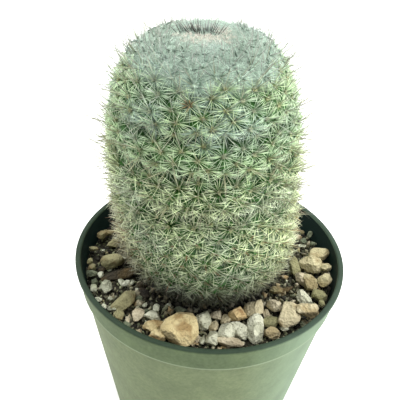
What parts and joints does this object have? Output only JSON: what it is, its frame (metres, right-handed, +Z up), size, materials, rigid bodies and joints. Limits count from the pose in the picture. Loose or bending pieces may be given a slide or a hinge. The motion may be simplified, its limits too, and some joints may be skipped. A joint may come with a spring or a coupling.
{
  "type": "potted mammillaria",
  "caption": "Columnar spiny cactus leaning a little in a round green plastic nursery pot, with gravel over its potting mix.",
  "frame": {"origin": "centre of the pot's flat underside, on the surface that the pot stands on", "axes": "+Z up along the pot, -Y towards the plant's front, +X to the right seen from the front; the plant leans towards -X"},
  "size_m": [0.102, 0.102, 0.1805],
  "materials": {
    "pot": "satin",
    "soil": "matte",
    "gravel": "matte",
    "cactus": "matte"
  },
  "bodies": {
    "root": {"pot": "pot", "soil": "soil", "gravel": "gravel", "cactus": "cactus"}
  },
  "joints": []
}
